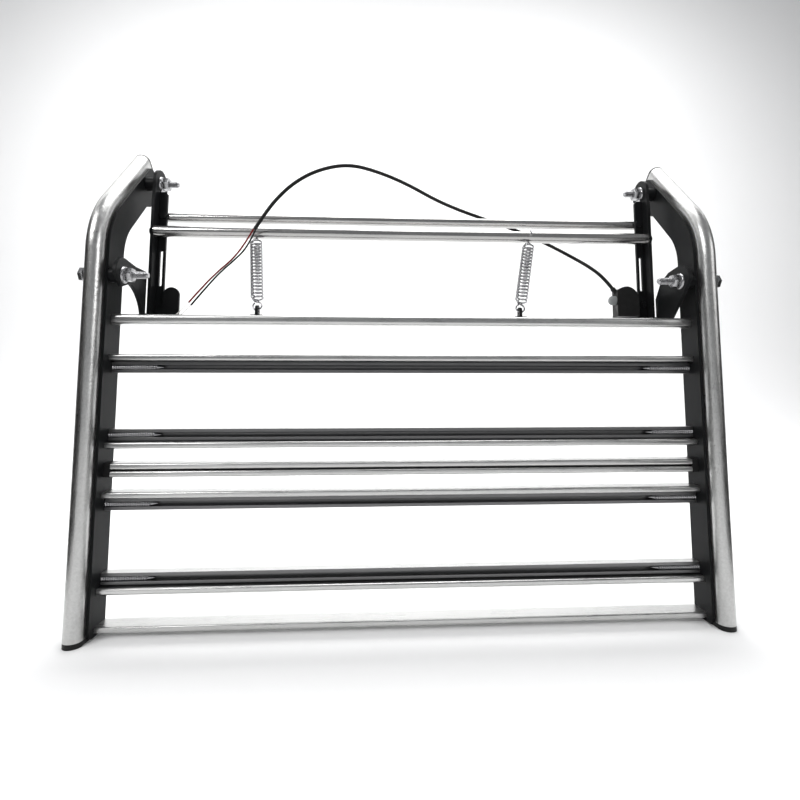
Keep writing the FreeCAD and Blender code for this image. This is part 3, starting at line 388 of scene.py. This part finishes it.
@dataclass
class Workshop:
    """Turns bmeshes and curves into pieces of the rack."""

    finishes: Finishes
    weld_distance: float = 1e-6
    flat_deg: float = 0.6
    smooth_deg: float = 40
    bevel_deg: float = 50

    def add(
        self, name: str, mesh: bmesh.types.BMesh, nodes: Sequence[str], smooth_deg: float = 35
    ) -> bpy.types.Object:
        """Stores a bmesh as a piece that stands for CAD nodes.

        Args:
            name: The piece's name.
            mesh: The finished bmesh in the row frame, freed here.
            nodes: The CAD nodes that it replaces, all on one body.
            smooth_deg: Edges sharper than this stay sharp.

        Returns:
            The new object.
        """
        data = bpy.data.meshes.new(name)
        mesh.to_mesh(data)
        mesh.free()
        data.shade_smooth()
        data.set_sharp_from_angle(angle=math.radians(smooth_deg))
        return self.settle(bpy.data.objects.new(name, data), nodes)

    def settle(self, piece: bpy.types.Object, nodes: Sequence[str]) -> bpy.types.Object:
        """Links a piece, dresses it, and lets it stand for its nodes on their body."""
        bpy.context.collection.objects.link(piece)
        paint(piece, self.finishes.made[slot_of(nodes[0])])
        slot_of(nodes[0])
        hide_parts(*nodes)
        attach(piece, body_of(nodes[0]))
        LOG.info("%s stands for %s", piece.name, ", ".join(nodes))
        return piece

    def softened(
        self, node: str, width: float = 0.35 * MM, recessed: Callable[[Vector], bool] | None = None
    ) -> bpy.types.Object:
        """A copy of a CAD node with its sharp edges broken.

        Args:
            node: The CAD node.
            width: How far the bevel reaches from each edge.
            recessed: Says of a face's middle whether it lies in a recess that gets painted shade.

        Returns:
            The new piece.
        """
        mesh = bmesh.new()
        mesh.from_mesh(frame["nodes"][node].data)
        bmesh.ops.remove_doubles(mesh, verts=mesh.verts, dist=self.weld_distance)
        bmesh.ops.dissolve_limit(
            mesh, angle_limit=math.radians(self.flat_deg), verts=mesh.verts, edges=mesh.edges)
        piece = self.add(node + "_piece", mesh, [node], self.smooth_deg)
        if recessed is not None:
            # Marks the faces that the metal material paints with recess shade.
            painted_shade_marks = piece.data.attributes.new(PAINTED_SHADE_MARK, "FLOAT", "FACE")
            for face in piece.data.polygons:
                painted_shade_marks.data[face.index].value = float(recessed(face.center))
        bevel = piece.modifiers.new("broken_edges", "BEVEL")
        bevel.width = width
        bevel.segments = 2
        bevel.limit_method = "ANGLE"
        bevel.angle_limit = math.radians(self.bevel_deg)
        bevel.harden_normals = True
        return piece

    def wire(
        self, name: str, points: Sequence[Vector], radius: float, smooth: bool
    ) -> bpy.types.Object:
        """A round wire along points.

        Args:
            name: The piece's name.
            points: The route, as control points if smooth.
            radius: The wire's radius.
            smooth: A NURBS curve rather than straight steps.

        Returns:
            The unlinked curve object.
        """
        curve = bpy.data.curves.new(name, "CURVE")
        curve.dimensions = "3D"
        spline = curve.splines.new("NURBS" if smooth else "POLY")
        spline.points.add(len(points) - 1)
        for spot, point in zip(spline.points, points):
            spot.co = (*point, 1)
        if smooth:
            spline.order_u = 3
            spline.use_endpoint_u = True
            spline.resolution_u = 16
        curve.bevel_depth = radius
        curve.bevel_resolution = 4 if smooth else 2
        curve.use_fill_caps = True
        return bpy.data.objects.new(name, curve)


@dataclass
class Lead:
    """The switch's two-core lead: sheath, cores and bare strands."""

    shop: Workshop
    sheath_diameter: float = 3.2 * MM
    core_diameter: float = 1.5 * MM
    strand_radius: float = 0.16 * MM
    strand_ring: float = 0.26 * MM
    strand_count: int = 5
    strand_fan: float = 0.9
    strand_twist: float = 0.7
    strand_flatten: float = 0.7
    sheath_length: float = 0.385
    core_length: float = 0.083

    def build(self) -> None:
        """Makes the sheath and what comes out of it."""
        self.run("lead_sheath", SHEATH_ROUTE, self.sheath_diameter)
        for colour, route in CORE_ROUTES.items():
            ends = self.strands(colour, STRAND_ROUTES[colour])
            self.run(f"lead_core_{colour}", route, self.core_diameter)

    def run(
        self, node: str, route: Sequence[Sequence[float]], diameter: float,
    ) -> None:
        """Args:
            node: The CAD node that it replaces.
            route: The chosen points.
            diameter: The cord's diameter.
        """
        points = [Vector((x, y + FRONT_LINE, z)) for x, y, z in route]
        cord = self.shop.wire(node + "_line", points, diameter / 2, smooth=True)
        self.shop.settle(cord, [node])

    def strands(self, colour: str, route: Sequence[Sequence[float]]) -> list[bpy.types.Object]:
        """Fans a few tinned strands out of a core's end.

        Args:
            colour: The core's colour.
            route: The bundle's chosen points.

        Returns:
            The strands' pieces.
        """
        made = []
        for turn in range(self.strand_count):
            angle = math.tau * turn / self.strand_count
            points = []
            for step, (x, y, z) in enumerate(route):
                reach = self.strand_ring * (1 + self.strand_fan * step)
                swing = angle + self.strand_twist * step
                sideways = reach * math.cos(swing) * self.strand_flatten
                back = y + FRONT_LINE + reach * math.sin(swing)
                points.append(Vector((x + sideways, back, z + sideways)))
            strand = self.shop.wire(
                f"strand_{colour}_{turn}", points, self.strand_radius, smooth=True)
            made.append(self.shop.settle(strand, [f"lead_strands_{colour}"]))
        return made


def rod_thread(
    mesh: bmesh.types.BMesh, radius: float, depth: float, pitch: float, start: float, end: float
) -> None:
    """Adds a helical thread along +Z to a bmesh.

    Args:
        mesh: The bmesh to add to.
        radius: The crest's radius.
        depth: The thread's depth.
        pitch: The rise of one turn.
        start: The lower end.
        end: The upper end.
    """
    steps = 20
    turns = math.ceil((end - start) / pitch) + 1
    low = start - pitch
    outline = [(radius - depth, 0.0), (radius, 0.42), (radius, 0.58), (radius - depth, 1.0)]
    verts = [mesh.verts.new((r, 0, low + rise * pitch)) for r, rise in outline]
    edges = [mesh.edges.new(pair) for pair in zip(verts, verts[1:])]
    old = set(mesh.verts) - set(verts)
    bmesh.ops.spin(
        mesh, geom=verts + edges, axis=(0, 0, 1), cent=(0, 0, 0), angle=math.tau * turns,
        steps=steps * turns, dvec=(0, 0, pitch / steps))
    new = [vert for vert in mesh.verts if vert not in old]
    bmesh.ops.remove_doubles(mesh, verts=new, dist=radius * 0.002)
    for height, keep_up in ((start, True), (end, False)):
        new_geom = [g for g in (*mesh.verts, *mesh.edges, *mesh.faces) if g not in old]
        cutting = bmesh.ops.bisect_plane(
            mesh, geom=new_geom, plane_co=(0, 0, height), plane_no=(0, 0, 1),
            clear_inner=keep_up, clear_outer=not keep_up)
        rim = [g for g in cutting["geom_cut"] if isinstance(g, bmesh.types.BMEdge)]
        bmesh.ops.edgeloop_fill(mesh, edges=rim)
    bmesh.ops.recalc_face_normals(mesh, faces=mesh.faces)


def disc(
    mesh: bmesh.types.BMesh, radius: float, start: float, end: float, sides: int = 48,
    chamfer: float = 0.0, far_radius: float | None = None,
) -> None:
    """Adds a round or many-sided disc along +Z, its two rims chamfered.

    Args:
        mesh: The bmesh to add to.
        radius: The radius of its corners at the start.
        start: The lower face.
        end: The upper face.
        sides: How many sides.
        chamfer: The width of the rims' rounding.
        far_radius: The radius at the end, if different.
    """
    made = bmesh.ops.create_cone(
        mesh, cap_ends=True, segments=sides, radius1=radius, depth=end - start,
        radius2=radius if far_radius is None else far_radius,
        matrix=Matrix.Translation((0, 0, (start + end) / 2)))
    if chamfer:
        rims = {edge for vert in made["verts"] for edge in vert.link_edges
                if abs(edge.verts[0].co.z - edge.verts[1].co.z) < 1e-7}
        bmesh.ops.bevel(
            mesh, geom=list(rims), offset=chamfer, affect="EDGES", segments=2, profile=0.5,
            material=-1)


@dataclass
class Fasteners:
    """Bolts, nuts, washers and slat screws with real threads."""

    shop: Workshop
    bolt_r: float = 3 * MM
    bolt_pitch: float = 1.0 * MM
    thread_depth: float = 0.5 * MM
    tip: float = 1.2 * MM
    across_flats: float = 10 * MM
    flange_r: float = 7.1 * MM
    flange_thick: float = 1.4 * MM
    flange_slope: float = 0.8 * MM
    flange_edge: float = 0.25 * MM
    thread_play: float = 0.05 * MM
    screw_r: float = 2.75 * MM
    screw_pitch: float = 1.8 * MM
    screw_depth: float = 0.75 * MM
    screw_tip: float = 5 * MM
    screw_head_r: float = 4.7 * MM
    screw_head_tall: float = 2.2 * MM
    screw_point: float = 0.4 * MM
    channel_in: float = 4.5 * MM

    def build(self) -> None:
        """Makes each side's fasteners."""
        for word, side in SIDES.items():
            for place in ("lower", "pivot"):
                self.bolt(f"{place}_bolt_{word}", side)
                self.nut(f"{place}_nut_{word}", side)
                self.washer(f"{place}_washer_{word}", side)
                self.shop.softened(f"{place}_spacer_{word}", 0.5 * MM)
            self.slat_screws(word, side)

    def inward(self, mesh: bmesh.types.BMesh, side: int, place: Vector) -> None:
        """Turns a mesh made along +Z to run from place towards the rack's middle."""
        turn = Matrix.Rotation(-side * math.pi / 2, 4, "Y")
        bmesh.ops.transform(mesh, matrix=Matrix.Translation(place) @ turn, verts=mesh.verts)

    def outer_end(self, node: str, side: int) -> Vector:
        """The middle of the end of a fastener's box that faces away from the rack."""
        low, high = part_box(node)
        return Vector((low[0] if side < 0 else high[0], *centre(node).yz))

    def hexagon(self, mesh: bmesh.types.BMesh, start: float, end: float) -> None:
        """Adds the wrench flats with chamfered corners."""
        corner = self.across_flats / math.sqrt(3)
        disc(mesh, corner, start, end, 6, 0.5 * MM)

    def bolt(self, node: str, side: int) -> None:
        """Makes a flanged bolt: its head outside the rail and its thread inwards."""
        low, high = (Vector(corner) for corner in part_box(node))
        length = high.x - low.x
        washer = [Vector(corner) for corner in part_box(node.replace("bolt", "washer"))]
        head_tall = washer[0].x - low.x if side < 0 else high.x - washer[1].x
        mesh = bmesh.new()
        rod_thread(mesh, self.bolt_r - self.thread_play, self.thread_depth, self.bolt_pitch,
                   head_tall, length - self.tip)
        disc(mesh, self.bolt_r - self.thread_depth, length - self.tip, length, 32, 0,
             self.bolt_r * 0.66)
        self.hexagon(mesh, 0, head_tall - self.flange_thick * 0.6)
        disc(mesh, self.flange_r - self.flange_slope, head_tall - self.flange_thick, head_tall, 48,
             self.flange_edge, self.flange_r)
        self.inward(mesh, side, self.outer_end(node, side))
        self.shop.add(node + "_piece", mesh, [node])

    def nut(self, node: str, side: int) -> None:
        """Makes a flanged nut, its flange outwards."""
        low, high = (Vector(corner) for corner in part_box(node))
        mesh = bmesh.new()
        length = high.x - low.x
        disc(mesh, self.flange_r, 0, self.flange_thick, 48, self.flange_edge,
             self.flange_r - self.flange_slope)
        self.hexagon(mesh, self.flange_thick * 0.6, length - 0.35 * MM)
        disc(mesh, self.bolt_r + 0.9 * MM, length - 0.5 * MM, length, 32, 0.15 * MM)
        self.inward(mesh, side, self.outer_end(node, side))
        self.shop.add(node + "_piece", mesh, [node])

    def washer(self, node: str, side: int) -> None:
        """Makes a plain washer with rounded rims."""
        low, high = (Vector(corner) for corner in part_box(node))
        mesh = bmesh.new()
        disc(mesh, (high.z - low.z) / 2, 0, high.x - low.x, 64, 0.2 * MM)
        self.inward(mesh, side, self.outer_end(node, side))
        self.shop.add(node + "_piece", mesh, [node])

    def slat_screws(self, word: str, side: int) -> None:
        """Makes the four coarse screws that run in the slats' channels."""
        node = "slat_screws_" + word
        low, high = (Vector(corner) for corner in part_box(node))
        length = high.x - low.x
        whole = bmesh.new()
        for slat, up in (("upper", 1), ("above_centre", -1), ("below_centre", 1), ("lower", -1)):
            slat_low, slat_high = (Vector(corner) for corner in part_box("slat_" + slat))
            height = slat_low.z + self.channel_in if up > 0 else slat_high.z - self.channel_in
            mesh = bmesh.new()
            rod_thread(mesh, self.screw_r, self.screw_depth, self.screw_pitch,
                       self.screw_head_tall, length - self.screw_tip)
            disc(mesh, self.screw_r - self.screw_depth, length - self.screw_tip, length, 24, 0,
                 self.screw_point)
            disc(mesh, self.screw_head_r, 0, self.screw_head_tall, 48, 0,
                 self.screw_r - self.screw_depth)
            outer = self.outer_end(node, side)
            self.inward(mesh, side, Vector((outer.x, outer.y, height)))
            part = bpy.data.meshes.new("screw")
            mesh.to_mesh(part)
            mesh.free()
            whole.from_mesh(part)
            bpy.data.meshes.remove(part)
        self.shop.add(node + "_piece", whole, [node])


@dataclass
class Springs:
    """The two extension springs between the spring bar's lugs and the lower crossbar."""

    shop: Workshop
    wire_r: float = 0.8 * MM
    coil_r: float = 4.7 * MM
    eye_r: float = 3.6 * MM
    hook_r: float = 6.45 * MM
    lug_r: float = 3.8 * MM
    turns: int = 19
    steps: int = 20
    eye_steps: int = 22
    eye_start_deg: float = -150
    eye_step_deg: float = 15
    hook_steps: int = 20
    hook_step_deg: float = 14.5
    taper_power: float = 0.6
    hook_gap: float = 1.6
    low_x: dict[str, float] = field(default_factory=lambda: {"left": -0.1255, "right": 0.0937})
    top_x: dict[str, float] = field(default_factory=lambda: {"left": -0.1355, "right": 0.1125})

    def build(self) -> None:
        """Makes both springs and their lugs."""
        for word in SIDES:
            self.spring(word)
            self.shop.softened("spring_lug_" + word, 0.25 * MM)

    def spring(self, word: str) -> None:
        """Winds one spring from its lug up to the lower crossbar, unparented from any body."""
        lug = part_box("spring_lug_" + word)
        bar = centre("crossbar_lower")
        foot = Vector((self.low_x[word], centre("spring_lug_" + word).y, lug[1][2] - self.lug_r))
        top = Vector((self.top_x[word], bar.y, bar.z))
        axis = top - foot
        turn = Vector((0, 0, 1)).rotation_difference(axis).to_matrix().to_4x4()
        points = [Matrix.Translation(foot) @ turn @ point for point in self.line(axis.length)]
        node = "spring_" + word
        curve = self.shop.wire(node + "_line", points, self.wire_r, smooth=False)
        bpy.context.collection.objects.link(curve)
        evaluated = curve.evaluated_get(bpy.context.evaluated_depsgraph_get())
        data = bpy.data.meshes.new_from_object(evaluated)
        bpy.data.objects.remove(curve)
        data.shade_smooth()
        piece = self.shop.settle(bpy.data.objects.new(node + "_coil", data), [node])
        piece.parent = None
        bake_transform(piece)

    def line(self, span: float) -> list[Vector]:
        """The wire's centre line along +Z: eye, coils and hook."""
        points = []
        for step in range(self.eye_steps + 1):
            angle = math.radians(self.eye_start_deg + self.eye_step_deg * step)
            points.append(Vector((self.eye_r * math.sin(angle), 0,
                                  self.eye_r - self.eye_r * math.cos(angle))))
        start = 2 * self.eye_r + self.wire_r
        finish = span - self.hook_r - self.wire_r * self.hook_gap
        count = self.turns * self.steps
        for step in range(count + 1):
            part = step / count
            near = min(step, count - step) / self.steps
            reach = self.coil_r * min(1.0, near) ** self.taper_power
            angle = math.tau * step / self.steps
            points.append(Vector((reach * math.cos(angle), reach * math.sin(angle),
                                  start + (finish - start) * part)))
        for step in range(self.hook_steps + 1):
            angle = math.radians(self.hook_step_deg * step)
            points.append(Vector((0, self.hook_r * math.sin(angle),
                                  span - self.hook_r * math.cos(angle))))
        return points


@dataclass
class BlackParts:
    """Plates, arms, caps and switch parts whose edges only need breaking."""

    shop: Workshop
    plate_edge: float = 0.35 * MM
    moulded_edge: float = 0.9 * MM
    button_edge: float = 0.6 * MM
    gland_edge: float = 0.5 * MM

    def build(self) -> None:
        """Breaks the edges of each plate and moulding."""
        for word in SIDES:
            for kind in ("side_plate", "stop_plate", "arm", "foot_cap", "end_block"):
                self.shop.softened(f"{kind}_{word}", self.plate_edge)
        self.shop.softened("foot_tab", self.plate_edge)
        self.shop.softened("switch_bracket", self.plate_edge)
        self.shop.softened("switch_housing", self.moulded_edge)
        self.shop.softened("switch_button", self.button_edge)
        self.shop.softened("cable_gland", self.gland_edge)


@dataclass
class BrightParts:
    """Slats and bars, their long edges slightly rounded as drawn metal is."""

    shop: Workshop
    edge: float = 0.25 * MM
    nose_reach: float = 3 * MM
    back_skin: float = 0.5 * MM

    def build(self) -> None:
        """Breaks the edges of each cross member and crossbar."""
        slats = ("slat_upper", "slat_above_centre", "slat_centre", "slat_below_centre", "slat_lower")
        for node in slats:
            # Slat faces in the grooves and channels are marked for painted shade.
            self.shop.softened(node, self.edge, self.recess_of(node))
        for node in ("spring_bar", "bottom_bar", "small_screws"):
            self.shop.softened(node, self.edge)

    def recess_of(self, node: str) -> Callable[[Vector], bool]:
        """A test for the faces between a slat's nose and its outer skins, which get painted shade.
        """
        low, high = (Vector(corner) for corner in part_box(node))

        def recessed(middle: Vector) -> bool:
            """Whether a face's middle lies in the grooves and channels."""
            behind_nose = low.y + self.nose_reach < middle.y < high.y - self.back_skin
            return behind_nose and low.z + self.back_skin < middle.z < high.z - self.back_skin

        return recessed


@dataclass
class Studio:
    """Pale seamless paper, soft lights and two black flags."""

    sweep_back: float = 1.5
    sweep_radius: float = 0.7
    half_width: float = 4.0
    front: float = -2.5
    height: float = 3.5
    flag_side: float = 0.4
    flag_front: float = -0.42
    flag_back: float = 0.02
    flag_tall: float = 0.42
    sky_colour: tuple[float, float, float] = (0.95, 0.97, 1)
    sky_strength: float = 0.26

    def build(self) -> None:
        """Makes the paper, the lights, the black flags and the sky."""
        self.paper()
        self.light("key", (-1.2, -1.3, 1.5), (0, 0, 0.2), 0.7, 20)
        self.light("fill", (1.5, -1.1, 0.8), (0, 0, 0.2), 0.5, 9)
        self.light("top", (0.1, 0.2, 1.9), (0, 0.1, 0.2), 1.3, 20)
        self.light("backdrop_left", (-0.9, 0.7, 1.7), (-1.0, 2.0, 0.55), 1.6, 28)
        self.light("backdrop_right", (0.9, 0.7, 1.7), (1.0, 2.0, 0.55), 1.6, 28)
        self.flag("flag_left", -self.flag_side)
        self.flag("flag_right", self.flag_side)
        world = bpy.data.worlds.new("studio")
        world.use_nodes = True
        sky = world.node_tree.nodes["Background"]
        sky.inputs["Color"].default_value = (*self.sky_colour, 1)
        sky.inputs["Strength"].default_value = self.sky_strength
        bpy.context.scene.world = world
        bpy.context.scene.view_settings.view_transform = "Standard"

    def paper(self) -> None:
        """Sweeps the floor up into the backdrop."""
        mesh = bmesh.new()
        ends = [mesh.verts.new((x, self.front, 0)) for x in (-self.half_width, self.half_width)]
        edge = mesh.edges.new(ends)
        floor = bmesh.ops.extrude_edge_only(mesh, edges=[edge])["geom"]
        verts = [g for g in floor if isinstance(g, bmesh.types.BMVert)]
        bmesh.ops.translate(mesh, vec=(0, self.sweep_back - self.front, 0), verts=verts)
        rim = [g for g in floor if isinstance(g, bmesh.types.BMEdge)
               and all(v in verts for v in g.verts)]
        turned = bmesh.ops.spin(
            mesh, geom=verts + rim, axis=(1, 0, 0), angle=math.pi / 2, steps=24,
            cent=(0, self.sweep_back, self.sweep_radius))["geom_last"]
        last = [g for g in turned if isinstance(g, bmesh.types.BMEdge)]
        wall = bmesh.ops.extrude_edge_only(mesh, edges=last)["geom"]
        top = [g for g in wall if isinstance(g, bmesh.types.BMVert)]
        bmesh.ops.translate(mesh, vec=(0, 0, self.height), verts=top)
        bmesh.ops.recalc_face_normals(mesh, faces=mesh.faces)
        data = bpy.data.meshes.new("studio_paper")
        mesh.to_mesh(data)
        mesh.free()
        data.shade_smooth()
        sheet = bpy.data.objects.new("studio_paper", data)
        bpy.context.collection.objects.link(sheet)
        paint(sheet, StudioPaper().build())

    def flag(self, name: str, side: float) -> None:
        """Stands a black card beside the rack, seen only as a reflection.

        Args:
            name: The card's name.
            side: Where it stands along X.
        """
        mesh = bmesh.new()
        corners = [(self.flag_front, 0.0), (self.flag_back, 0.0),
                   (self.flag_back, self.flag_tall), (self.flag_front, self.flag_tall)]
        mesh.faces.new([mesh.verts.new((side, y, z)) for y, z in corners])
        data = bpy.data.meshes.new(name)
        mesh.to_mesh(data)
        mesh.free()
        card = bpy.data.objects.new(name, data)
        bpy.context.collection.objects.link(card)
        paint(card, Moulded("flag_black", (0.01, 0.01, 0.01), 0.9).build())
        card.visible_camera = False
        card.visible_shadow = False
        card.visible_diffuse = False

    def light(
        self, name: str, place: Sequence[float], aim: Sequence[float], size: float, watts: float
    ) -> None:
        """Hangs one square soft light.

        Args:
            name: The light's name.
            place: Where it hangs.
            aim: What it points at.
            size: Its side.
            watts: Its power.
        """
        data = bpy.data.lights.new(name, "AREA")
        data.size = size
        data.energy = watts
        lamp = bpy.data.objects.new(name, data)
        lamp.location = place
        lamp.rotation_euler = (Vector(aim) - Vector(place)).to_track_quat("-Z", "Y").to_euler()
        bpy.context.collection.objects.link(lamp)


def main() -> None:
    """Builds the camera, the lead and then every other part of the rack."""
    logging.basicConfig(level=logging.INFO, format="%(message)s")
    StudioCamera().build()
    finishes = Finishes()
    finishes.build()
    finishes.dress_nodes()
    shop = Workshop(finishes)
    for part in (Lead(shop), Fasteners(shop), Springs(shop), BlackParts(shop), BrightParts(shop)):
        part.build()
    Studio().build()


if __name__ == "__main__":
    main()
